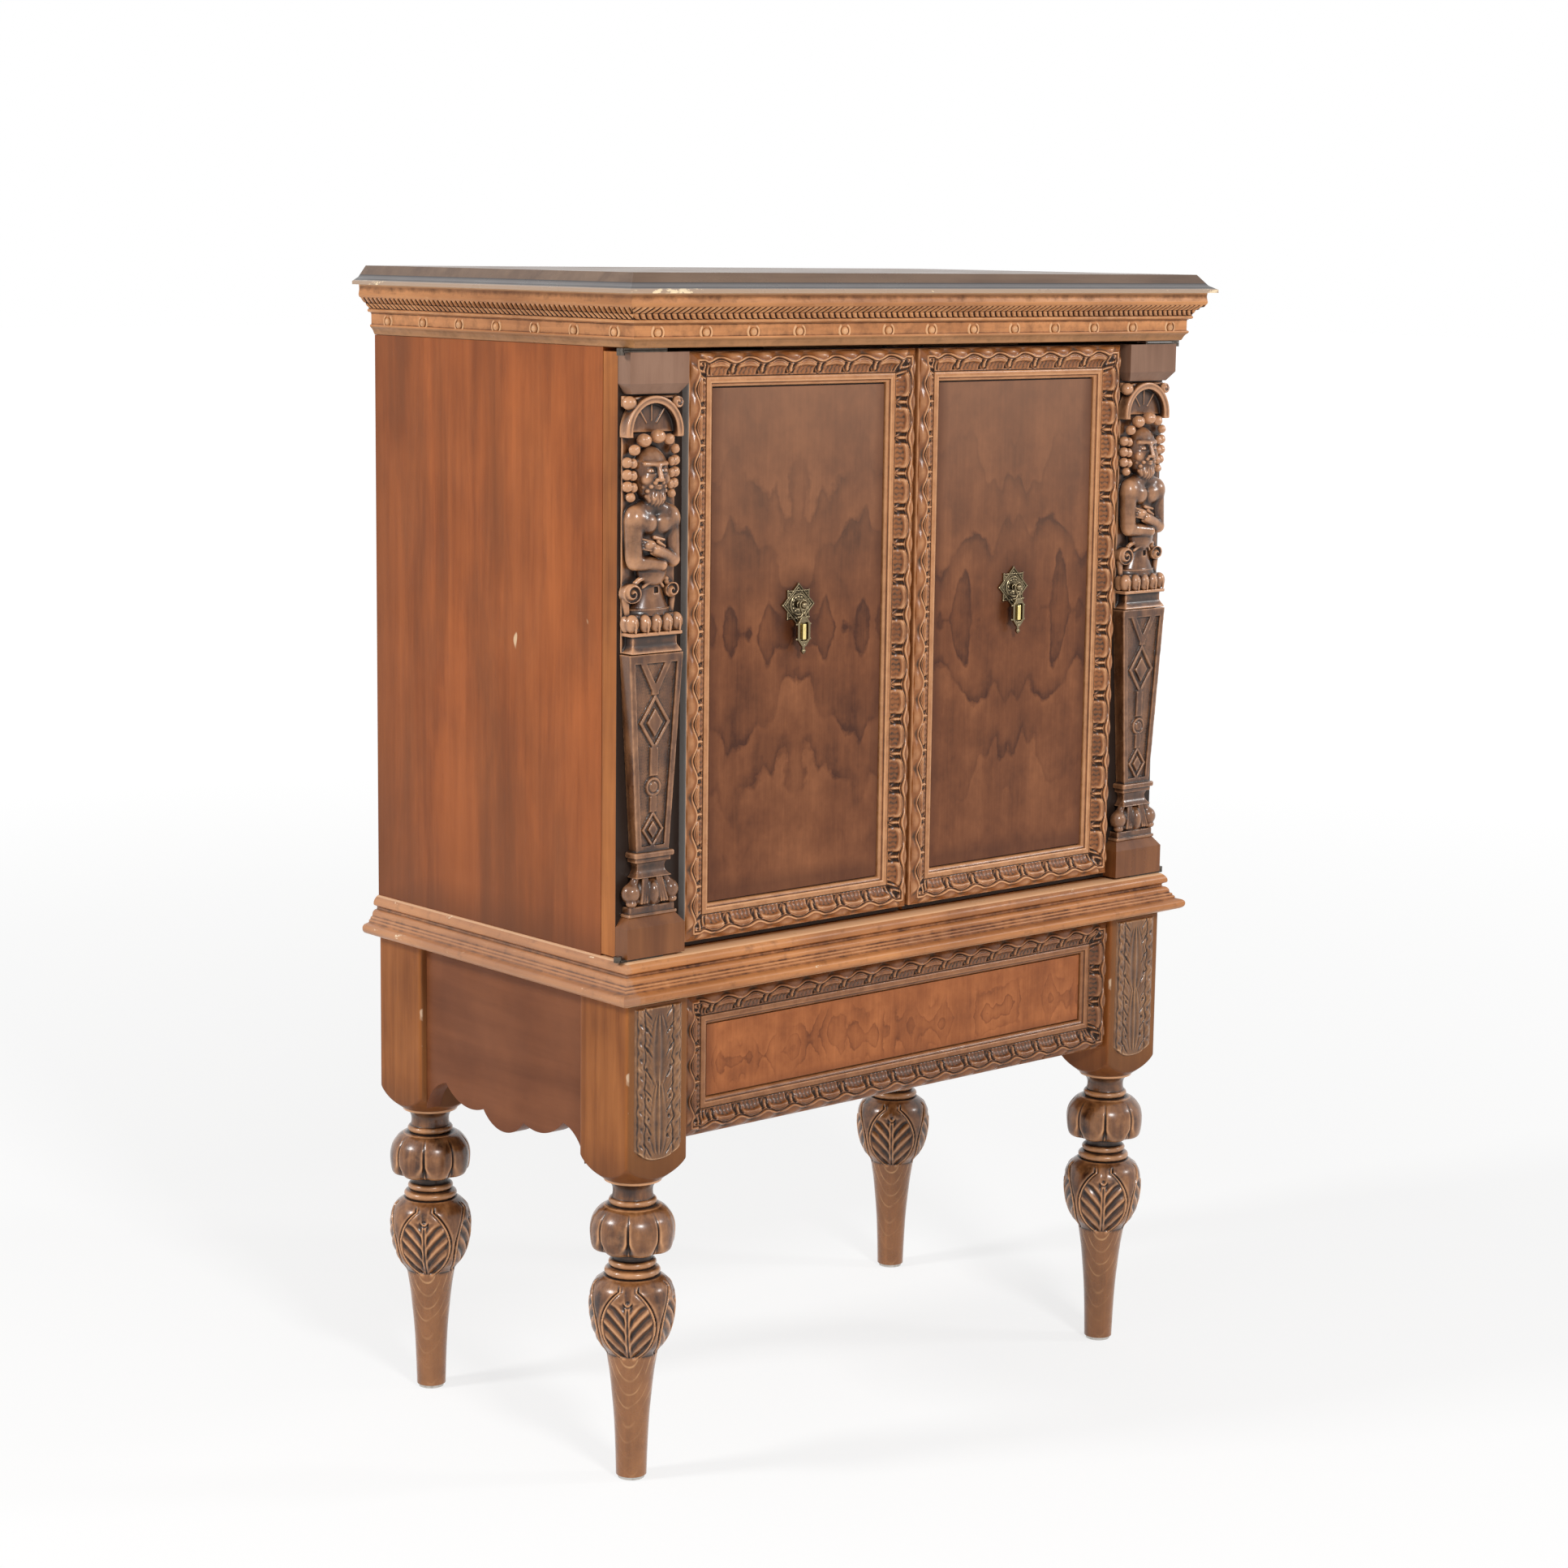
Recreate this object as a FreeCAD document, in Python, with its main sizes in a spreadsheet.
import FreeCAD, Part
import math
import os
import Sketcher

# Two-door cabinet on a turned stand, in millimetres. X runs to the right as seen from the front,
# Y to the back and Z up. The origin is on the floor, under the middle of the whole outline.

SIZES = {
    # turned legs, from the floor up
    "glide_height": 4,
    "glide_radius": 15,
    "foot_bottom_radius": 17.4,
    "foot_middle_radius": 20,
    "foot_top_radius": 29,
    "foot_lower_length": 67,
    "foot_upper_length": 78.3,
    "bulb_radius": 49.3,
    "bulb_top_radius": 34,
    "bulb_lower_length": 56.7,
    "bulb_upper_length": 33,
    "lower_ring_radius": 31.7,
    "lower_ring_length": 9,
    "upper_ring_radius": 27.1,
    "upper_ring_length": 9.5,
    "leg_waist_radius": 21.5,
    "leg_waist_length": 10.5,
    "cup_rim_radius": 43,
    "cup_radius": 48.6,
    "cup_lower_length": 22,
    "cup_upper_length": 31,
    "neck_ring_radius": 27,
    "neck_ring_length": 8,
    "neck_radius": 22.6,
    "neck_length": 19,
    "shoulder_ring_radius": 33,
    "shoulder_ring_length": 4,
    "shoulder_length": 31,
    "shoulder_radius": 61,
    "shoulder_curve": 36,
    "post_size": 86,
    "post_length": 205.5,
    "post_proud": 1,
    # rails of the stand
    "side_apron_recess": 8,
    "side_apron_thickness": 20,
    "side_apron_drop": 191.5,
    "scallop_inner_reach": 38.7,
    "scallop_outer_reach": 113,
    "scallop_inner_rise": 19,
    "scallop_outer_rise": 35,
    "scallop_end_drop": 4,
    "scallop_middle_curve": 49,
    "scallop_side_curve": 67,
    "scallop_end_curve": 49,
    "back_apron_thickness": 20,
    "back_apron_drop": 90,
    "front_apron_thickness": 20,
    "front_apron_recess": 19.2,
    "front_apron_drop": 161.5,
    "corner_block_size": 30,
    "corner_block_length": 60,
    # carved leaves on the front posts
    "leaf_width": 68,
    "leaf_top_gap": 3,
    "leaf_length": 176,
    "leaf_relief": 5,
    "leaf_end_rise": 20,
    "leaf_end_curve": 50,
    # waist frame between stand and case
    "waist_height": 50.5,
    "waist_reach": 23.6,
    "waist_rail_width": 96,
    "waist_soffit_rise": 6.5,
    "waist_soffit_reach": 19,
    "waist_lip_bottom": 10.5,
    "waist_lip_top": 17,
    "waist_reed_reach": 11.8,
    "waist_reed_height": 23.5,
    "waist_groove_reach": 3,
    "waist_groove_height": 36.2,
    "waist_torus_reach": 6.8,
    "waist_torus_bottom": 41.1,
    "waist_torus_top": 45.5,
    # case
    "case_width": 852,
    "case_depth": 428.6,
    "case_height": 662.5,
    "side_thickness": 20,
    "bottom_thickness": 18,
    "case_top_thickness": 18,
    "back_thickness": 8,
    "shelf_height": 322,
    "shelf_thickness": 16,
    "shelf_setback": 20,
    "shelf_end_gap": 0.5,
    "cleat_size": 18,
    "cleat_setback": 24,
    "door_stop_length": 400,
    "door_stop_width": 16,
    "door_stop_height": 9,
    # cornice
    "frieze_height": 26.1,
    "frieze_thickness": 20,
    "frieze_side_reach": 6.6,
    "frieze_front_reach": 13.6,
    "frieze_edge_radius": 7,
    "crown_height": 32,
    "crown_seat_width": 26,
    "crown_bell_reach": 9.7,
    "crown_bell_height": 13.4,
    "crown_bead_reach": 15.6,
    "crown_bead_height": 18.4,
    "crown_neck_reach": 14,
    "crown_neck_height": 26,
    "lip_reach": 24.4,
    "lip_thickness": 3.6,
    "top_step_inset": 8.8,
    "top_step_height": 5,
    "top_edge_inset": 19.1,
    "top_crown_height": 12.8,
    "button_radius": 9.6,
    "button_face_radius": 6.5,
    "button_thickness": 4.5,
    "button_centre_height": 16.3,
    "button_front_pitch": 66.6,
    "button_side_pitch": 70,
    # doors
    "door_back_gap": 1,
    "door_bottom_gap": 2.5,
    "door_top_gap": 4.4,
    "door_middle_gap": 6.4,
    "door_thickness": 25.2,
    "panel_thickness": 3,
    "frame_bottom_margin": 6.8,
    "frame_top_margin": 0.6,
    "pilaster_gap": 8.1,
    # framing moulding of doors and front apron
    "moulding_width": 40,
    "moulding_height": 16.2,
    "moulding_edge_height": 11,
    "moulding_ovolo_width": 8,
    "moulding_ovolo_curve": 9,
    "moulding_band_width": 31,
    "moulding_fillet_height": 12.5,
    "moulding_fillet_drop": 2.5,
    "moulding_sight_height": 9,
    # pilasters on the doors
    "pilaster_width": 80.3,
    "block_depth": 21.2,
    "cap_block_height": 33.3,
    "base_block_height": 33.4,
    "cavetto_height": 11,
    "cavetto_inset": 8,
    "carving_top_gap": 2,
    "hood_radius": 38,
    "hood_thickness": 7,
    "hood_rise": 34,
    "hood_depth": 15,
    "shell_depth": 8,
    "hood_scroll_size": 13,
    "hood_scroll_depth": 12,
    "head_radius": 22,
    "head_length": 66,
    "head_depth": 24,
    "head_drop": 116,
    "hair_radius": 35,
    "hair_length": 92,
    "hair_depth": 15,
    "bust_width": 74,
    "bust_height": 90,
    "bust_drop": 112,
    "bust_depth": 17,
    "skirt_width": 64,
    "skirt_height": 33,
    "skirt_depth": 19,
    "leaf_band_height": 20,
    "leaf_band_depth": 21,
    "herm_block_height": 22,
    "herm_block_width": 70,
    "herm_block_depth": 19,
    "shaft_top_width": 74,
    "shaft_bottom_width": 45,
    "shaft_top_depth": 18,
    "shaft_bottom_depth": 13,
    "shaft_collar_height": 11,
    "shaft_collar_width": 52,
    "shaft_neck_height": 14.5,
    "shaft_neck_width": 38,
    "shaft_neck_depth": 11,
    "gadroon_height": 36,
    "gadroon_radius": 36.5,
    "gadroon_depth": 20,
    "gadroon_top_radius": 23,
    "plinth_height": 9.6,
    "plinth_width": 64,
    "plinth_depth": 14,
    # pivot hinges at the outer corners of the doors
    "hinge_side_reach": 7,
    "hinge_front_reach": 8,
    "hinge_eye_radius": 4.5,
    "hinge_eye_height": 5,
    "hinge_top_plate_thickness": 1.8,
    "hinge_bottom_plate_thickness": 1,
    "hinge_plate_length": 52,
    "hinge_plate_width": 11,
    "hinge_running_gap": 0.3,
    "hinge_pin_radius": 1.6,
    "hinge_pin_clearance": 0.05,
    # ball catches in the top edges of the doors
    "catch_radius": 4,
    "catch_length": 14,
    "catch_ball_radius": 3,
    "catch_ball_rise": 1.8,
    "catch_side_reach": 30,
    "strike_length": 22,
    "strike_width": 14,
    "strike_thickness": 1.2,
    # drop handles
    "handle_height": 371.5,
    "star_radius": 24.3,
    "star_square_radius": 23.3,
    "star_thickness": 1.6,
    "rosette_radius": 13,
    "rosette_thickness": 1.6,
    "handle_post_reach": 7.4,
    "handle_boss_radius": 4,
    "handle_boss_length": 1.4,
    "handle_neck_radius": 1.3,
    "handle_ball_radius": 3.9,
    "pull_eye_clearance": 0.4,
    "pull_eye_wall": 2.1,
    "pull_eye_thickness": 2,
    "pull_stem_radius": 1.8,
    "pull_stem_length": 7,
    "pull_collar_width": 17,
    "pull_collar_height": 2.2,
    "pull_collar_depth": 3.4,
    "pull_width": 20.4,
    "pull_shoulder_width": 9,
    "pull_shoulder_height": 7,
    "pull_body_height": 18.5,
    "pull_tail_height": 8.5,
    "pull_tail_width": 5,
    "pull_thickness": 3.6,
    "pull_bar_width": 6,
    "pull_bar_height": 17.5,
    "pull_bar_relief": 1,
    "pull_tip_radius": 1.5,
    "pull_tip_length": 4,
    "pull_ball_radius": 3.1,
}

doc = FreeCAD.newDocument("CabinetOnStand")
sheet = doc.addObject("Spreadsheet::Sheet", "Sizes")


class Size:
    """A length: its number, and the sheet expression that a property is bound to."""

    def __init__(self, value, text):
        self.value = value
        self.text = text

    def combine(self, other, sign, value):
        return Size(value, f"({self.text} {sign} {other.text})")

    def __add__(self, other):
        other = as_size(other)
        return self.combine(other, "+", self.value + other.value)

    def __sub__(self, other):
        other = as_size(other)
        return self.combine(other, "-", self.value - other.value)

    def __mul__(self, other):
        other = as_size(other)
        return self.combine(other, "*", self.value * other.value)

    def __truediv__(self, other):
        other = as_size(other)
        return self.combine(other, "/", self.value / other.value)

    def __neg__(self):
        return Size(-self.value, f"(0 - {self.text})")


def as_size(number):
    if isinstance(number, Size):
        return number
    return Size(float(number), f"{float(number):.6f}")


class SizeNames:
    """The sheet's aliases as attributes."""


s = SizeNames()
for row, (alias, number) in enumerate(SIZES.items(), start=1):
    sheet.set(f"A{row}", alias.replace("_", " "))
    sheet.set(f"B{row}", str(number))
    sheet.setAlias(f"B{row}", alias)
    setattr(s, alias, Size(number, f"Sizes.{alias}"))
doc.recompute()

ZERO = as_size(0)
X_AXIS = FreeCAD.Vector(1, 0, 0)
Y_AXIS = FreeCAD.Vector(0, 1, 0)
Z_AXIS = FreeCAD.Vector(0, 0, 1)
UPRIGHT = FreeCAD.Rotation()

nodes = {}


def node(item, label):
    """Makes an object a sub-part of the cabinet under its own name."""
    item.Label = label
    nodes[label] = item
    return item


def bind(item, **properties):
    for name, size in properties.items():
        item.setExpression(name, as_size(size).text)


def put(item, x, y, z, rotation=UPRIGHT):
    item.Placement = FreeCAD.Placement(FreeCAD.Vector(0, 0, 0), rotation)
    for axis, size in (("x", x), ("y", y), ("z", z)):
        item.setExpression(f"Placement.Base.{axis}", as_size(size).text)
    return item


def box(x, y, z):
    """A box between two coordinates on each axis."""
    item = doc.addObject("Part::Box", "Box")
    bind(item, Length=x[1] - x[0], Width=y[1] - y[0], Height=z[1] - z[0])
    return put(item, x[0], y[0], z[0])


def cylinder(radius, height, x, y, z, rotation=UPRIGHT):
    item = doc.addObject("Part::Cylinder", "Cylinder")
    bind(item, Radius=radius, Height=height)
    return put(item, x, y, z, rotation)


def cone(radius, far_radius, height, x, y, z, rotation=UPRIGHT):
    item = doc.addObject("Part::Cone", "Cone")
    bind(item, Radius1=radius, Radius2=far_radius, Height=height)
    return put(item, x, y, z, rotation)


def ball(radius, x, y, z):
    item = doc.addObject("Part::Sphere", "Sphere")
    bind(item, Radius=radius)
    return put(item, x, y, z)


def fuse(*items):
    item = doc.addObject("Part::MultiFuse", "Fusion")
    item.Shapes = list(items)
    return item


def cut(base, tool):
    item = doc.addObject("Part::Cut", "Cut")
    item.Base = base
    item.Tool = tool
    return item


def common(base, tool):
    item = doc.addObject("Part::Common", "Common")
    item.Base = base
    item.Tool = tool
    return item


def group(*items):
    item = doc.addObject("Part::Compound", "Compound")
    item.Links = list(items)
    return item


def taper(x, far_x, y, far_y, z):
    """A solid from a footprint x, y at the height z[0] to far_x, far_y at z[1]."""
    item = doc.addObject("Part::Wedge", "Wedge")
    bind(item, Ymin=ZERO, Ymax=z[1] - z[0], Xmin=x[0], Xmax=x[1], X2min=far_x[0], X2max=far_x[1],
         Zmin=-y[1], Zmax=-y[0], Z2min=-far_y[1], Z2max=-far_y[0])
    return put(item, ZERO, ZERO, z[0], FreeCAD.Rotation(X_AXIS, 90))


def new_body():
    return doc.addObject("PartDesign::Body", "Body")


def new_sketch(body, role, lift=ZERO):
    """A sketch on one of the body's own origin planes, raised along its normal."""
    plane = [item for item in body.Origin.OriginFeatures if item.Role == role][0]
    sketch = body.newObject("Sketcher::SketchObject", "Sketch")
    sketch.AttachmentSupport = [(plane, "")]
    sketch.MapMode = "FlatFace"
    sketch.setExpression("AttachmentOffset.Base.z", as_size(lift).text)
    return sketch


def arc_between(start, end, radius):
    """The short arc from start to end; a positive radius turns left, a negative one right."""
    chord = end - start
    middle = (start + end) * 0.5
    half = chord.Length / 2
    rise = math.sqrt(max(radius * radius - half * half, 0))
    left = FreeCAD.Vector(-chord.y, chord.x, 0).normalize()
    centre = middle + left * math.copysign(rise, radius)
    first, last = (start, end) if radius > 0 else (end, start)
    circle = Part.Circle(centre, Z_AXIS, abs(radius))
    return Part.ArcOfCircle(circle, circle.parameter(first), circle.parameter(last))


def outline(sketch, corners):
    """Draws a closed outline. A corner is (x, y), or (x, y, radius) where an arc leads on from it."""
    count = len(corners)
    spots = [FreeCAD.Vector(as_size(c[0]).value, as_size(c[1]).value, 0) for c in corners]
    heads = []
    for index, corner in enumerate(corners):
        start = spots[index]
        end = spots[(index + 1) % count]
        if len(corner) == 2:
            sketch.addGeometry(Part.LineSegment(start, end), False)
            heads.append((1, 2))
        else:
            radius = as_size(corner[2]).value
            sketch.addGeometry(arc_between(start, end, radius), False)
            heads.append((1, 2) if radius > 0 else (2, 1))
    for index in range(count):
        after = (index + 1) % count
        sketch.addConstraint(Sketcher.Constraint("Coincident", index, heads[index][1], after, heads[after][0]))
    for index, corner in enumerate(corners):
        for kind, size in (("DistanceX", corner[0]), ("DistanceY", corner[1])):
            size = as_size(size)
            spot = sketch.addConstraint(
                Sketcher.Constraint(kind, -1, 1, index, heads[index][0], size.value))
            sketch.setExpression(f"Constraints[{spot}]", size.text)
        if len(corner) == 3:
            radius = as_size(corner[2])
            size = radius if radius.value > 0 else -radius
            spot = sketch.addConstraint(Sketcher.Constraint("Radius", index, size.value))
            sketch.setExpression(f"Constraints[{spot}]", size.text)


def pad(body, sketch, length, backwards=False):
    item = body.newObject("PartDesign::Pad", "Pad")
    item.Profile = sketch
    item.Reversed = backwards
    bind(item, Length=length)
    return item


def pocket(body, sketch, backwards=False):
    item = body.newObject("PartDesign::Pocket", "Pocket")
    item.Profile = sketch
    item.Type = "ThroughAll"
    item.Reversed = backwards
    return item


def turn(body, sketch, kind="PartDesign::Revolution"):
    """Turns a sketch of radius (x) against height (y) about the body's upright axis."""
    item = body.newObject(kind, "Turning")
    item.Profile = sketch
    item.ReferenceAxis = (sketch, ["V_Axis"])
    item.Angle = 360
    return item


def mitred_strip(profile, length, width, start_mitre, end_mitre):
    """A moulding along X whose profile is (distance in from the outer side, height)."""
    body = new_body()
    section = new_sketch(body, "YZ_Plane")
    outline(section, profile)
    pad(body, section, length)
    if start_mitre:
        mitre = new_sketch(body, "XY_Plane")
        outline(mitre, [(ZERO, ZERO), (width, width), (ZERO, width)])
        pocket(body, mitre, backwards=True)
    if end_mitre:
        mitre = new_sketch(body, "XY_Plane")
        outline(mitre, [(length, ZERO), (length, width), (length - width, width)])
        pocket(body, mitre, backwards=True)
    return body


# ---- levels and planes -------------------------------------------------------------------

foot_middle = s.glide_height + s.foot_lower_length
foot_top = foot_middle + s.foot_upper_length
bulb_middle = foot_top + s.bulb_lower_length
bulb_top = bulb_middle + s.bulb_upper_length
lower_ring_top = bulb_top + s.lower_ring_length
upper_ring_top = lower_ring_top + s.upper_ring_length
cup_bottom = upper_ring_top + s.leg_waist_length
cup_middle = cup_bottom + s.cup_lower_length
cup_top = cup_middle + s.cup_upper_length
neck_ring_top = cup_top + s.neck_ring_length
neck_top = neck_ring_top + s.neck_length
shoulder_bottom = neck_top + s.shoulder_ring_length
shoulder_top = shoulder_bottom + s.shoulder_length
stand_top = shoulder_bottom + s.post_length

case_bottom = stand_top + s.waist_height
case_top = case_bottom + s.case_height
frieze_top = case_top + s.frieze_height
crown_top = frieze_top + s.crown_height
door_bottom = case_bottom + s.door_bottom_gap
door_top = case_top - s.door_top_gap

case_side = s.case_width / 2
inner_side = case_side - s.side_thickness
frieze_side = case_side + s.frieze_side_reach
lip_side = frieze_side + s.lip_reach

front_build = (s.door_back_gap + s.door_thickness + s.block_depth + s.frieze_front_reach + s.lip_reach)
bulb_overhang = s.bulb_radius - s.post_size / 2
back_face = (s.case_depth + front_build - bulb_overhang) / 2
case_front = back_face - s.case_depth
door_back = case_front - s.door_back_gap
door_front = door_back - s.door_thickness
block_front = door_front - s.block_depth
frieze_front = block_front - s.frieze_front_reach
lip_front = frieze_front - s.lip_reach
post_front = block_front - s.post_proud
inner_back = back_face - s.back_thickness

post_inner_side = case_side - s.post_size
front_post_back = post_front + s.post_size
back_post_front = back_face - s.post_size
leg_side = case_side - s.post_size / 2
leg_front = post_front + s.post_size / 2
leg_back = back_face - s.post_size / 2


# ---- stand ---------------------------------------------------------------------------------

def swell(length, rise):
    """Radius of the arc that leaves its widest point square to the rise, over a length."""
    return (length * length + rise * rise) / (rise * 2)


def leg(label, x, y):
    body = new_body()
    square = new_sketch(body, "XY_Plane", shoulder_bottom)
    half = s.post_size / 2
    outline(square, [(-half, -half), (half, -half), (half, half), (-half, half)])
    pad(body, square, s.post_length)
    corner = s.post_size
    shoulder = new_sketch(body, "XZ_Plane")
    outline(shoulder, [
        (s.shoulder_ring_radius, shoulder_bottom, s.shoulder_curve),
        (s.shoulder_radius, shoulder_top),
        (corner, shoulder_top),
        (corner, shoulder_bottom)])
    turn(body, shoulder, "PartDesign::Groove")
    profile = new_sketch(body, "XZ_Plane")
    outline(profile, [
        (ZERO, s.glide_height),
        (s.foot_bottom_radius, s.glide_height),
        (s.foot_middle_radius, foot_middle),
        (s.foot_top_radius, foot_top, swell(s.bulb_lower_length, s.bulb_radius - s.foot_top_radius)),
        (s.bulb_radius, bulb_middle, swell(s.bulb_upper_length, s.bulb_radius - s.bulb_top_radius)),
        (s.bulb_top_radius, bulb_top),
        (s.lower_ring_radius, bulb_top),
        (s.lower_ring_radius, lower_ring_top),
        (s.upper_ring_radius, lower_ring_top),
        (s.upper_ring_radius, upper_ring_top),
        (s.leg_waist_radius, upper_ring_top),
        (s.leg_waist_radius, cup_bottom),
        (s.cup_rim_radius, cup_bottom, swell(s.cup_lower_length, s.cup_radius - s.cup_rim_radius)),
        (s.cup_radius, cup_middle, swell(s.cup_upper_length, s.cup_radius - s.neck_ring_radius)),
        (s.neck_ring_radius, cup_top),
        (s.neck_ring_radius, neck_ring_top),
        (s.neck_radius, neck_ring_top),
        (s.neck_radius, neck_top),
        (s.shoulder_ring_radius, neck_top),
        (s.shoulder_ring_radius, shoulder_bottom),
        (ZERO, shoulder_bottom)])
    turn(body, profile)
    return node(put(body, x, y, ZERO), label)


def side_apron(label, outer_x):
    """The scalloped rail between two posts, drawn across the depth and padded to its thickness."""
    body = new_body()
    sketch = new_sketch(body, "YZ_Plane")
    half = (back_post_front - front_post_back) / 2
    low = -s.side_apron_drop
    inner = low + s.scallop_inner_rise
    outer = low + s.scallop_outer_rise
    end = low - s.scallop_end_drop
    outline(sketch, [
        (-half, end, s.scallop_end_curve * -1),
        (-s.scallop_outer_reach, outer, s.scallop_side_curve),
        (-s.scallop_inner_reach, inner, s.scallop_middle_curve),
        (s.scallop_inner_reach, inner, s.scallop_side_curve),
        (s.scallop_outer_reach, outer, s.scallop_end_curve * -1),
        (half, end),
        (half, ZERO),
        (-half, ZERO)])
    pad(body, sketch, s.side_apron_thickness)
    middle = (back_post_front + front_post_back) / 2
    return node(put(body, outer_x, middle, stand_top), label)


def post_leaf(label, x):
    """The carved leaf on a front post: a flat blank with a rounded tip."""
    body = new_body()
    sketch = new_sketch(body, "XZ_Plane")
    half = s.leaf_width / 2
    outline(sketch, [
        (-half, -(s.leaf_length - s.leaf_end_rise), s.leaf_end_curve),
        (ZERO, -s.leaf_length, s.leaf_end_curve),
        (half, -(s.leaf_length - s.leaf_end_rise)),
        (half, ZERO),
        (-half, ZERO)])
    pad(body, sketch, s.leaf_relief)
    return node(put(body, x, post_front, stand_top - s.leaf_top_gap), label)


def corner_block(x, y):
    return box((x, x + s.corner_block_size), (y, y + s.corner_block_size),
               (stand_top - s.corner_block_length, stand_top))


MOULDING_PROFILE = [
    (ZERO, ZERO),
    (s.moulding_width, ZERO),
    (s.moulding_width, s.moulding_sight_height),
    (s.moulding_band_width + s.moulding_fillet_drop, s.moulding_fillet_height),
    (s.moulding_band_width, s.moulding_height),
    (s.moulding_ovolo_width, s.moulding_height, s.moulding_ovolo_curve),
    (ZERO, s.moulding_edge_height)]


def frame_moulding(label, left, right, bottom, top, back):
    """Four mitred strips round a panel, standing forward from the plane back."""
    wide = right - left
    tall = top - bottom
    forward = FreeCAD.Vector(0, -1, 0)
    sides = [
        (wide, left, bottom, X_AXIS, Z_AXIS),
        (wide, right, top, X_AXIS * -1, Z_AXIS * -1),
        (tall, left, top, Z_AXIS * -1, X_AXIS),
        (tall, right, bottom, Z_AXIS, X_AXIS * -1)]
    strips = []
    for length, x, z, along, inward in sides:
        strip = mitred_strip(MOULDING_PROFILE, length, s.moulding_width, True, True)
        strips.append(put(strip, x, back, z, FreeCAD.Rotation(along, inward, forward, "ZXY")))
    return node(group(*strips), label)


def build_stand():
    leg("front_left_leg", -leg_side, leg_front)
    leg("front_right_leg", leg_side, leg_front)
    leg("back_left_leg", -leg_side, leg_back)
    leg("back_right_leg", leg_side, leg_back)
    spots = [(-leg_side, leg_front), (leg_side, leg_front), (-leg_side, leg_back), (leg_side, leg_back)]
    glides = [cylinder(s.glide_radius, s.glide_height, x, y, ZERO) for x, y in spots]
    node(group(*glides), "glides")

    apron_side = case_side - s.side_apron_recess
    apron_inner = apron_side - s.side_apron_thickness
    side_apron("left_apron", -apron_side)
    side_apron("right_apron", apron_inner)
    node(box((-post_inner_side, post_inner_side), (back_face - s.back_apron_thickness, back_face),
             (stand_top - s.back_apron_drop, stand_top)), "back_apron")

    apron_bottom = stand_top - s.front_apron_drop
    board_face = post_front + s.front_apron_recess
    node(box((-post_inner_side, post_inner_side), (board_face, board_face + s.front_apron_thickness),
             (apron_bottom, stand_top)), "front_apron")
    panel_side = post_inner_side - s.moulding_width
    node(box((-panel_side, panel_side), (board_face - s.panel_thickness, board_face),
             (apron_bottom + s.moulding_width, stand_top - s.moulding_width)), "apron_panel")
    frame_moulding("apron_moulding", -post_inner_side, post_inner_side, apron_bottom, stand_top,
                   board_face)
    post_leaf("left_post_leaf", -leg_side)
    post_leaf("right_post_leaf", leg_side)

    size = s.corner_block_size
    near = front_post_back
    far = back_post_front - size
    blocks = [corner_block(-apron_inner, near), corner_block(apron_inner - size, near),
              corner_block(-apron_inner, far), corner_block(apron_inner - size, far)]
    node(group(*blocks), "corner_blocks")


# ---- waist frame ---------------------------------------------------------------------------

def build_waist():
    deep = s.waist_reach + s.waist_rail_width
    reach = s.waist_reach
    profile = [
        (reach - s.waist_soffit_reach, s.waist_soffit_rise),
        (reach, ZERO),
        (deep, ZERO),
        (deep, s.waist_height),
        (reach, s.waist_height),
        (reach - s.waist_torus_reach, s.waist_torus_top),
        (reach - s.waist_torus_reach, s.waist_torus_bottom),
        (reach - s.waist_groove_reach, s.waist_groove_height),
        (reach - s.waist_reed_reach, s.waist_reed_height),
        (ZERO, s.waist_lip_top),
        (ZERO, s.waist_lip_bottom)]
    lip_x = case_side + reach
    lip_y = block_front - reach
    front = mitred_strip(profile, lip_x * 2, deep, True, True)
    node(put(front, -lip_x, lip_y, stand_top), "waist_moulding_front")
    run = back_face - lip_y
    left = mitred_strip(profile, run, deep, False, True)
    node(put(left, -lip_x, back_face, stand_top, FreeCAD.Rotation(Z_AXIS, -90)), "waist_moulding_left")
    right = mitred_strip(profile, run, deep, True, False)
    node(put(right, lip_x, lip_y, stand_top, FreeCAD.Rotation(Z_AXIS, 90)), "waist_moulding_right")
    inner = lip_x - deep
    node(box((-inner, inner), (back_face - s.waist_rail_width, back_face), (stand_top, case_bottom)),
         "waist_back_rail")


# ---- case ----------------------------------------------------------------------------------

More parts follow.
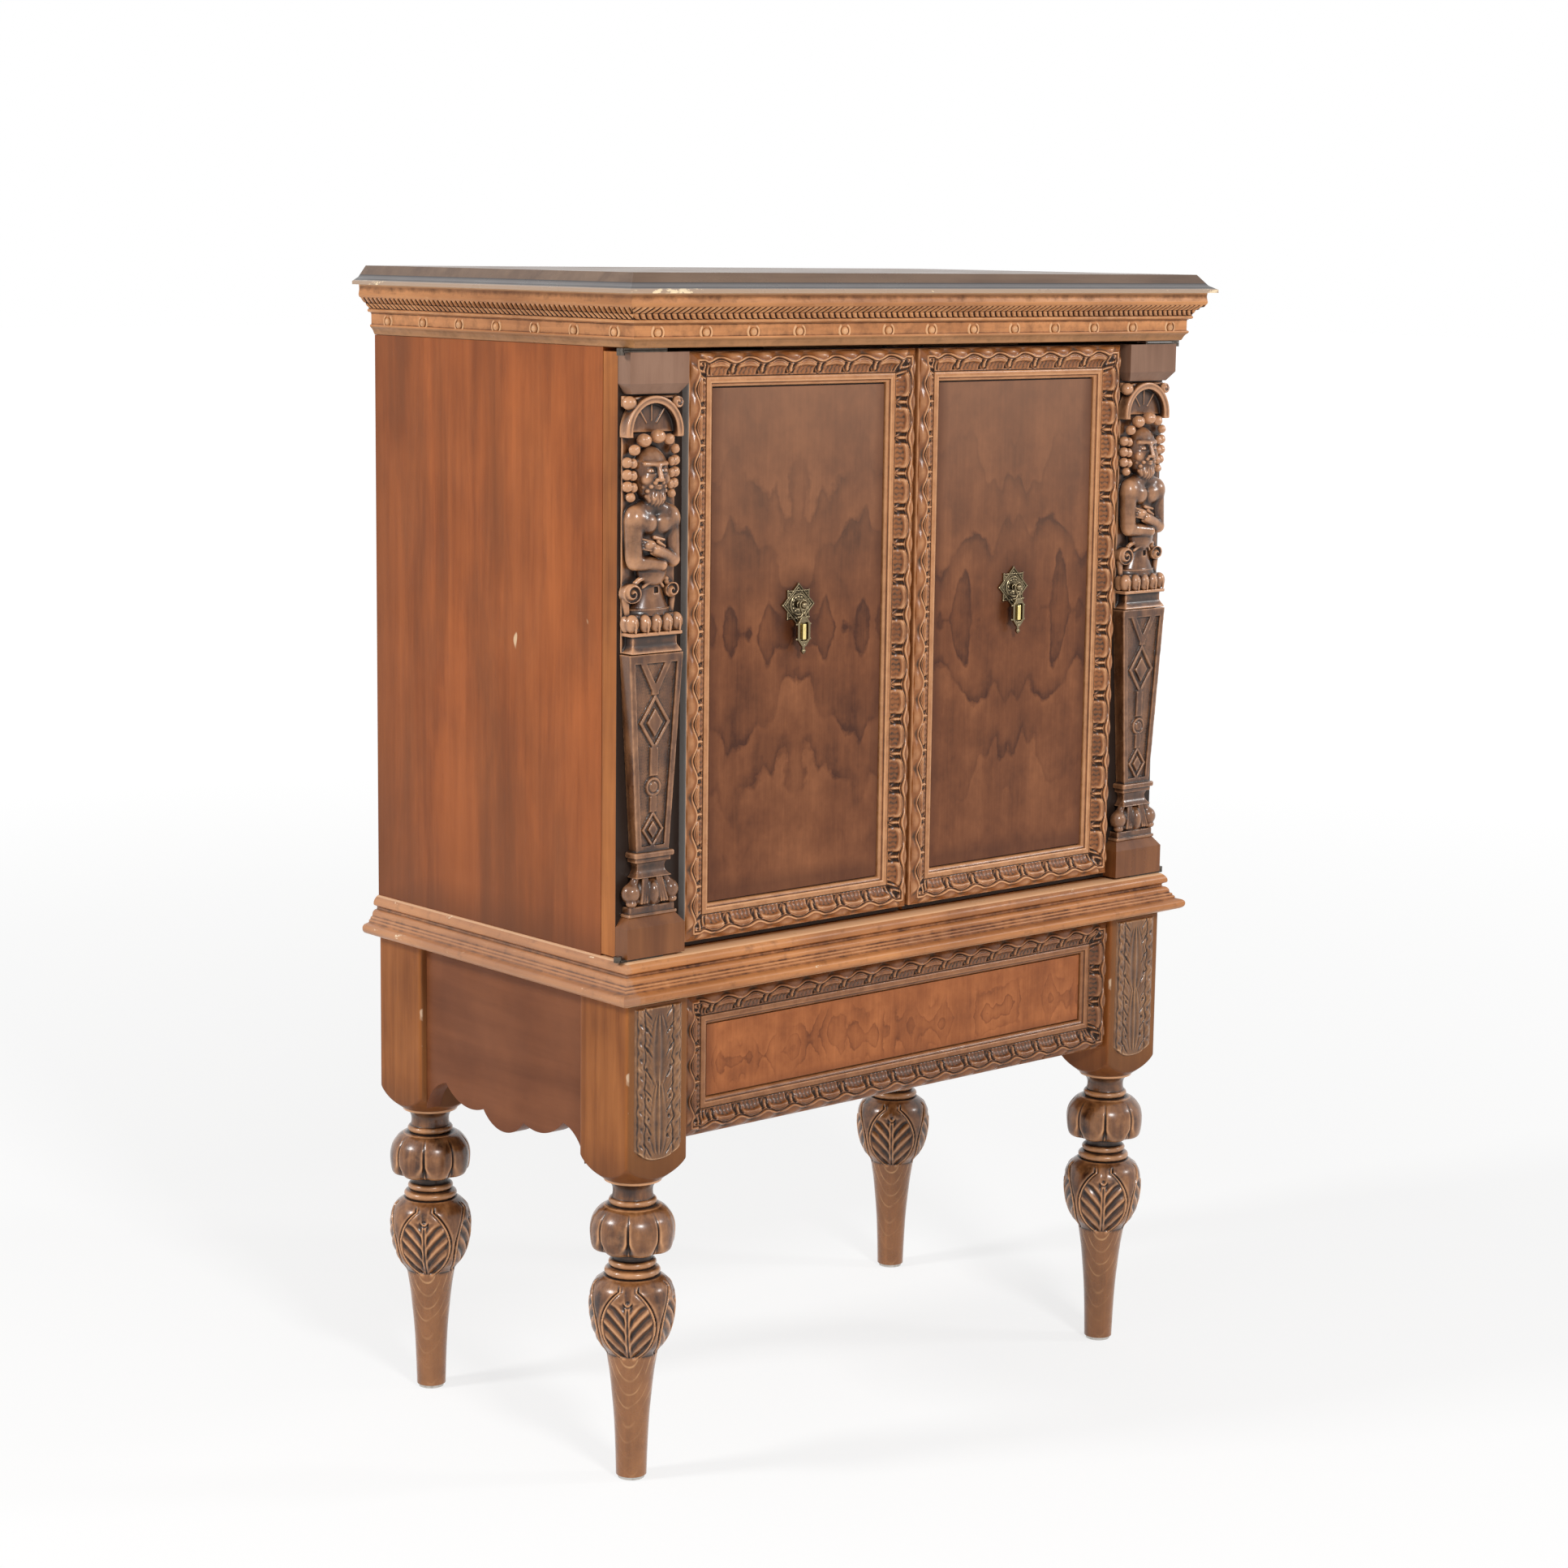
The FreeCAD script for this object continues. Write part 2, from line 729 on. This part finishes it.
def build_case():
    node(box((-case_side, -inner_side), (case_front, back_face), (case_bottom, case_top)),
         "case_left_side")
    node(box((inner_side, case_side), (case_front, back_face), (case_bottom, case_top)),
         "case_right_side")
    node(box((-inner_side, inner_side), (case_front, inner_back),
             (case_bottom, case_bottom + s.bottom_thickness)), "case_bottom")
    node(box((-inner_side, inner_side), (inner_back, back_face), (case_bottom, crown_top)), "case_back")
    soffit_side = frieze_side - s.frieze_thickness
    node(box((-soffit_side, soffit_side), (frieze_front + s.frieze_thickness, inner_back),
             (case_top, case_top + s.case_top_thickness)), "case_top")

    shelf_z = case_bottom + s.shelf_height
    shelf_side = inner_side - s.shelf_end_gap
    node(box((-shelf_side, shelf_side), (case_front + s.shelf_setback, inner_back),
             (shelf_z, shelf_z + s.shelf_thickness)), "shelf")
    cleat_y = (case_front + s.cleat_setback, inner_back)
    cleat_z = (shelf_z - s.cleat_size, shelf_z)
    node(group(box((-inner_side, -inner_side + s.cleat_size), cleat_y, cleat_z),
               box((inner_side - s.cleat_size, inner_side), cleat_y, cleat_z)), "shelf_cleats")
    stop_x = s.door_stop_length / 2
    node(box((-stop_x, stop_x), (case_front, case_front + s.door_stop_width),
             (case_top - s.door_stop_height, case_top)), "door_stop")


# ---- cornice -------------------------------------------------------------------------------

def cornice_strips(name, profile, reach, width, bottom):
    """Front, left and right strips of one cornice member, mitred at the two front corners."""
    side = frieze_side + reach
    face = frieze_front - reach
    run = back_face - face
    front = mitred_strip(profile, side * 2, width, True, True)
    node(put(front, -side, face, bottom), f"{name}_front")
    left = mitred_strip(profile, run, width, False, True)
    node(put(left, -side, back_face, bottom, FreeCAD.Rotation(Z_AXIS, -90)), f"{name}_left")
    right = mitred_strip(profile, run, width, True, False)
    node(put(right, side, face, bottom, FreeCAD.Rotation(Z_AXIS, 90)), f"{name}_right")


def button(x, y, z, rotation):
    return cone(s.button_radius, s.button_face_radius, s.button_thickness, x, y, z, rotation)


def build_cornice():
    edge = s.frieze_edge_radius
    frieze = [
        (edge, ZERO),
        (s.frieze_thickness, ZERO),
        (s.frieze_thickness, s.frieze_height),
        (ZERO, s.frieze_height),
        (ZERO, edge, edge)]
    cornice_strips("frieze", frieze, ZERO, s.frieze_thickness, case_top)

    reach = s.crown_bead_reach
    crown_width = reach + s.crown_seat_width
    crown = [
        (reach, ZERO),
        (crown_width, ZERO),
        (crown_width, s.crown_height),
        (reach - s.crown_neck_reach, s.crown_height),
        (reach - s.crown_neck_reach, s.crown_neck_height),
        (ZERO, s.crown_bead_height),
        (reach - s.crown_bell_reach, s.crown_bell_height)]
    cornice_strips("crown", crown, reach, crown_width, frieze_top)

    def plan(inset):
        return (-(lip_side - inset), lip_side - inset), (lip_front + inset, back_face)

    lip_top = crown_top + s.lip_thickness
    step_top = lip_top + s.top_step_height
    lip = box(*plan(ZERO), (crown_top, lip_top))
    step_x, step_y = plan(s.top_step_inset)
    edge_x, edge_y = plan(s.top_edge_inset)
    lip_x, lip_y = plan(ZERO)
    step = taper(lip_x, step_x, lip_y, step_y, (lip_top, step_top))
    crest = taper(step_x, edge_x, step_y, edge_y, (step_top, step_top + s.top_crown_height))
    node(fuse(lip, step, crest), "top_board")

    height = case_top + s.button_centre_height
    buttons = []
    for place in range(-6, 7):
        buttons.append(button(s.button_front_pitch * place, frieze_front, height,
                              FreeCAD.Rotation(X_AXIS, 90)))
    middle = (frieze_front + back_face) / 2
    for place in range(-3, 4):
        y = middle + s.button_side_pitch * place
        buttons.append(button(-frieze_side, y, height, FreeCAD.Rotation(Y_AXIS, -90)))
        buttons.append(button(frieze_side, y, height, FreeCAD.Rotation(Y_AXIS, 90)))
    node(group(*buttons), "frieze_buttons")


# ---- doors ---------------------------------------------------------------------------------

def across(side, near, far):
    """The X span between two distances from the middle, on the left (-1) or right (1)."""
    return (near * side, far * side) if side > 0 else (far * side, near * side)


def pilaster_block(label, side, z, cavetto_z, cavetto_up):
    """A plain block with a hollow moulding that steps back from it towards the carving."""
    near = case_side - s.pilaster_width
    inset = s.cavetto_inset
    full = across(side, near, case_side)
    small = across(side, near + inset, case_side - inset)
    full_y = (block_front, door_front)
    small_y = (block_front + inset, door_front)
    block = box(full, full_y, z)
    if cavetto_up:
        hollow = taper(full, small, full_y, small_y, cavetto_z)
    else:
        hollow = taper(small, full, small_y, full_y, cavetto_z)
    return node(fuse(block, hollow), label)


def herm_carving(label, side):
    """The carved figure: hood, head, bust, skirt, tapering shaft and gadrooned foot in one piece."""
    centre = (case_side - s.pilaster_width / 2) * side
    back = door_front
    top = door_top - s.cap_block_height - s.cavetto_height - s.carving_top_gap
    bottom = door_bottom + s.base_block_height + s.cavetto_height
    facing = FreeCAD.Rotation(X_AXIS, 90)

    def slab(width, depth, z):
        return box((centre - width / 2, centre + width / 2), (back - depth, back), z)

    hood_z = top - s.hood_radius
    shell_radius = s.hood_radius - s.hood_thickness
    arch = cut(cylinder(s.hood_radius, s.hood_depth, centre, back, hood_z, facing),
               cylinder(shell_radius, s.hood_depth, centre, back, hood_z, facing))
    shell = cylinder(s.hood_radius - s.hood_thickness / 2, s.shell_depth, centre, back, hood_z, facing)
    hood = common(fuse(arch, shell), slab(s.hood_radius * 2, s.hood_depth, (top - s.hood_rise, top)))
    scroll = slab(s.hood_radius * 2, s.hood_scroll_depth, (top - s.hood_scroll_size, top))

    def egg(radius, depth, length):
        """The front half of an egg shape, flat against the door."""
        item = doc.addObject("Part::Ellipsoid", "Ellipsoid")
        bind(item, Radius1=length / 2, Radius2=radius, Radius3=depth)
        item.Angle3 = 180
        return put(item, centre, back, top - s.head_drop + length / 2, FreeCAD.Rotation(Z_AXIS, 180))

    head = egg(s.head_radius, s.head_depth, s.head_length)
    hair = egg(s.hair_radius, s.hair_depth, s.hair_length)

    bust_top = top - s.bust_drop
    bust_bottom = bust_top - s.bust_height
    bust = taper((centre - s.skirt_width / 2, centre + s.skirt_width / 2),
                 (centre - s.bust_width / 2, centre + s.bust_width / 2),
                 (back - s.skirt_depth, back), (back - s.bust_depth, back), (bust_bottom, bust_top))
    neck = slab(s.head_radius, s.bust_depth, (bust_top, top - s.head_drop + s.head_length / 2))
    skirt_bottom = bust_bottom - s.skirt_height
    skirt = slab(s.skirt_width, s.skirt_depth, (skirt_bottom, bust_bottom))
    band_bottom = skirt_bottom - s.leaf_band_height
    band = slab(s.shaft_top_width, s.leaf_band_depth, (band_bottom, skirt_bottom))
    block_bottom = band_bottom - s.herm_block_height
    block = slab(s.herm_block_width, s.herm_block_depth, (block_bottom, band_bottom))

    plinth_top = bottom + s.plinth_height
    foot_top_z = plinth_top + s.gadroon_height
    neck_top_z = foot_top_z + s.shaft_neck_height
    collar_top = neck_top_z + s.shaft_collar_height
    shaft = taper((centre - s.shaft_bottom_width / 2, centre + s.shaft_bottom_width / 2),
                  (centre - s.shaft_top_width / 2, centre + s.shaft_top_width / 2),
                  (back - s.shaft_bottom_depth, back), (back - s.shaft_top_depth, back),
                  (collar_top, block_bottom))
    collar = slab(s.shaft_collar_width, s.herm_block_depth, (neck_top_z, collar_top))
    shaft_neck = slab(s.shaft_neck_width, s.shaft_neck_depth, (foot_top_z, neck_top_z))
    lower = plinth_top + s.gadroon_height / 3
    foot = fuse(
        taper((centre - s.plinth_width / 2, centre + s.plinth_width / 2),
              (centre - s.gadroon_radius, centre + s.gadroon_radius),
              (back - s.plinth_depth, back), (back - s.gadroon_depth, back), (plinth_top, lower)),
        taper((centre - s.gadroon_radius, centre + s.gadroon_radius),
              (centre - s.gadroon_top_radius, centre + s.gadroon_top_radius),
              (back - s.gadroon_depth, back), (back - s.plinth_depth, back), (lower, foot_top_z)))
    plinth = slab(s.plinth_width, s.plinth_depth, (bottom, plinth_top))
    return node(fuse(hood, scroll, hair, head, neck, bust, skirt, band, block, shaft, collar, shaft_neck, foot,
                     plinth), label)


def star_corners():
    """Eight points: two squares, an eighth of a turn apart, and the notches where they cross."""
    notch = s.star_square_radius * (math.cos(math.pi / 4) / math.cos(math.pi / 8))
    corners = []
    for place in range(16):
        angle = math.pi * place / 8
        reach = notch
        if place % 4 == 0:
            reach = s.star_radius
        elif place % 4 == 2:
            reach = s.star_square_radius
        corners.append((reach * math.cos(angle), reach * math.sin(angle)))
    return corners


def handle_plate(label, x, face, z):
    body = new_body()
    star = new_sketch(body, "XZ_Plane")
    outline(star, star_corners())
    pad(body, star, s.star_thickness)
    rosette = new_sketch(body, "XZ_Plane")
    rosette.addGeometry(Part.Circle(FreeCAD.Vector(0, 0, 0), Z_AXIS, s.rosette_radius.value), False)
    rosette.addConstraint(Sketcher.Constraint("Coincident", 0, 3, -1, 1))
    spot = rosette.addConstraint(Sketcher.Constraint("Radius", 0, s.rosette_radius.value))
    rosette.setExpression(f"Constraints[{spot}]", s.rosette_radius.text)
    pad(body, rosette, s.star_thickness + s.rosette_thickness)
    return node(put(body, x, face, z), label)


def handle_post(label, x, plate_face, pivot_y, z):
    """A boss on the plate, a thin neck and the ball that keeps the ring of the pull on it."""
    facing = FreeCAD.Rotation(X_AXIS, 90)
    boss = cylinder(s.handle_boss_radius, s.handle_boss_length, x, plate_face, z, facing)
    neck = cylinder(s.handle_neck_radius, s.handle_post_reach, x, plate_face, z, facing)
    return node(fuse(boss, neck, ball(s.handle_ball_radius, x, pivot_y, z)), label)


def drop_pull(label, x, y, z):
    """The swinging drop, built below its pivot: ring, stem, collar, six-sided body, tip and ball."""
    hole = s.handle_ball_radius + s.pull_eye_clearance
    rim = hole + s.pull_eye_wall
    facing = FreeCAD.Rotation(X_AXIS, 90)
    half_eye = s.pull_eye_thickness / 2
    eye = cut(cylinder(rim, s.pull_eye_thickness, x, y + half_eye, z, facing),
              cylinder(hole, s.pull_eye_thickness, x, y + half_eye, z, facing))
    stem_top = z - rim + s.pull_eye_wall / 2
    stem_bottom = stem_top - s.pull_stem_length
    stem = cylinder(s.pull_stem_radius, s.pull_stem_length, x, y, stem_bottom)

    def slab(width, depth, span):
        return box((x - width / 2, x + width / 2), (y - depth / 2, y + depth / 2), span)

    collar = slab(s.pull_collar_width, s.pull_collar_depth,
                  (stem_bottom, stem_bottom + s.pull_collar_height))
    shoulder = s.pull_shoulder_width / 2
    half = s.pull_width / 2
    tail = s.pull_tail_width / 2
    body_top = -s.pull_shoulder_height
    body_bottom = body_top - s.pull_body_height
    tail_bottom = body_bottom - s.pull_tail_height
    hexagon = new_body()
    shape = new_sketch(hexagon, "XZ_Plane")
    outline(shape, [
        (-shoulder, ZERO), (-half, body_top), (-half, body_bottom), (-tail, tail_bottom),
        (tail, tail_bottom), (half, body_bottom), (half, body_top), (shoulder, ZERO)])
    pad(hexagon, shape, s.pull_thickness)
    put(hexagon, x, y + s.pull_thickness / 2, stem_bottom)
    bar_bottom = stem_bottom + body_bottom + (s.pull_body_height - s.pull_bar_height) / 2
    face = y - s.pull_thickness / 2 - s.pull_bar_relief
    bar = box((x - s.pull_bar_width / 2, x + s.pull_bar_width / 2), (face, y),
              (bar_bottom, bar_bottom + s.pull_bar_height))
    tip_bottom = stem_bottom + tail_bottom - s.pull_tip_length
    tip = cylinder(s.pull_tip_radius, s.pull_tip_length, x, y, tip_bottom)
    drop = ball(s.pull_ball_radius, x, y, tip_bottom - s.pull_ball_radius / 2)
    return node(fuse(eye, stem, collar, hexagon, bar, tip, drop), label)


def hinge(x, y, plate_x, case_z, door_z, thickness):
    """One pivot hinge between the case at case_z and the door at door_z: two leaves and a pin."""
    above = case_z.value > door_z.value
    plate_y = (y - s.hinge_plate_width / 2, y + s.hinge_plate_width / 2)
    if above:
        door_plate = (door_z, door_z + thickness)
        case_plate = (case_z - thickness, case_z)
        door_eye = (door_plate[1] - s.hinge_eye_height, door_plate[1])
        case_eye = (door_eye[1] + s.hinge_running_gap, case_z)
        pin_span = (door_eye[0], case_eye[0])
    else:
        door_plate = (door_z - thickness, door_z)
        case_plate = (case_z, case_z + thickness)
        door_eye = (door_plate[0], door_plate[0] + s.hinge_eye_height)
        case_eye = (case_z, door_eye[0] - s.hinge_running_gap)
        pin_span = (case_eye[1], door_eye[1])

    def round_part(radius, span):
        return cylinder(radius, span[1] - span[0], x, y, span[0])

    door_leaf = cut(fuse(round_part(s.hinge_eye_radius, door_eye), box(plate_x, plate_y, door_plate)),
                    round_part(s.hinge_pin_radius + s.hinge_pin_clearance, door_eye))
    case_leaf = fuse(round_part(s.hinge_eye_radius, case_eye), box(plate_x, plate_y, case_plate))
    return door_leaf, case_leaf, round_part(s.hinge_pin_radius, pin_span)


def build_door(name, side):
    """One door and what is fixed to it; side is -1 for the left and 1 for the right."""
    slab = box(across(side, s.door_middle_gap / 2, case_side), (door_front, door_back),
               (door_bottom, door_top))
    catch_x = s.catch_side_reach * side
    catch_y = (door_front + door_back) / 2
    bore = cylinder(s.catch_radius, s.catch_length, catch_x, catch_y, door_top - s.catch_length)
    node(cut(slab, bore), f"{name}_door")
    barrel = cylinder(s.catch_radius, s.catch_length, catch_x, catch_y, door_top - s.catch_length)
    tip = ball(s.catch_ball_radius, catch_x, catch_y, door_top + s.catch_ball_rise - s.catch_ball_radius)
    node(fuse(barrel, tip), f"{name}_catch")

    near = s.door_middle_gap / 2
    far = case_side - s.pilaster_width - s.pilaster_gap
    left, right = across(side, near, far)
    low = door_bottom + s.frame_bottom_margin
    high = door_top - s.frame_top_margin
    frame_moulding(f"{name}_door_moulding", left, right, low, high, door_front)
    rim = s.moulding_width
    node(box((left + rim, right - rim), (door_front - s.panel_thickness, door_front),
             (low + rim, high - rim)), f"{name}_door_panel")

    cap_bottom = door_top - s.cap_block_height
    pilaster_block(f"{name}_cap_block", side, (cap_bottom, door_top),
                   (cap_bottom - s.cavetto_height, cap_bottom), False)
    base_top = door_bottom + s.base_block_height
    pilaster_block(f"{name}_base_block", side, (door_bottom, base_top),
                   (base_top, base_top + s.cavetto_height), True)
    herm_carving(f"{name}_herm", side)

    panel_face = door_front - s.panel_thickness
    handle_x = (left + right) / 2
    handle_z = door_bottom + s.handle_height
    plate_face = panel_face - s.star_thickness - s.rosette_thickness
    pivot_y = plate_face - s.handle_post_reach
    handle_plate(f"{name}_handle_plate", handle_x, panel_face, handle_z)
    handle_post(f"{name}_handle_post", handle_x, plate_face, pivot_y, handle_z)
    drop_pull(f"{name}_pull", handle_x, pivot_y, handle_z)


def build_hinges():
    pins = []
    for name, side in (("left", -1), ("right", 1)):
        x = (case_side + s.hinge_side_reach) * side
        y = block_front + s.hinge_front_reach
        plate_x = across(side, case_side - s.hinge_plate_length, case_side + s.hinge_side_reach)
        top = hinge(x, y, plate_x, case_top, door_top, s.hinge_top_plate_thickness)
        bottom = hinge(x, y, plate_x, case_bottom, door_bottom, s.hinge_bottom_plate_thickness)
        node(group(top[0], bottom[0]), f"{name}_door_hinge_leaves")
        node(group(top[1], bottom[1]), f"{name}_case_hinge_leaves")
        pins.extend([top[2], bottom[2]])
    node(group(*pins), "hinge_pins")


def build_strikes():
    """Plates under the top of the case, above the ball catches of the doors."""
    strikes = []
    middle = (door_front + door_back) / 2
    for side in (-1, 1):
        x = s.catch_side_reach * side
        strikes.append(box((x - s.strike_length / 2, x + s.strike_length / 2),
                           (middle - s.strike_width / 2, middle + s.strike_width / 2),
                           (case_top - s.strike_thickness, case_top)))
    node(group(*strikes), "catch_strikes")


build_stand()
build_waist()
build_case()
build_cornice()
build_door("left", -1)
build_door("right", 1)
build_hinges()
build_strikes()
doc.recompute()

for item in doc.Objects:
    if {"Invalid", "Error"} & set(item.State):
        raise RuntimeError(f"{item.Name} ({item.Label}) failed: {item.State}")
for label, item in nodes.items():
    if item.Shape.isNull() or not item.Shape.isValid():
        raise RuntimeError(f"{label} has no valid shape")

os.makedirs("parts", exist_ok=True)
for label, item in nodes.items():
    item.Shape.exportStep(f"parts/{label}.step")
print(f"{len(nodes)} nodes written")
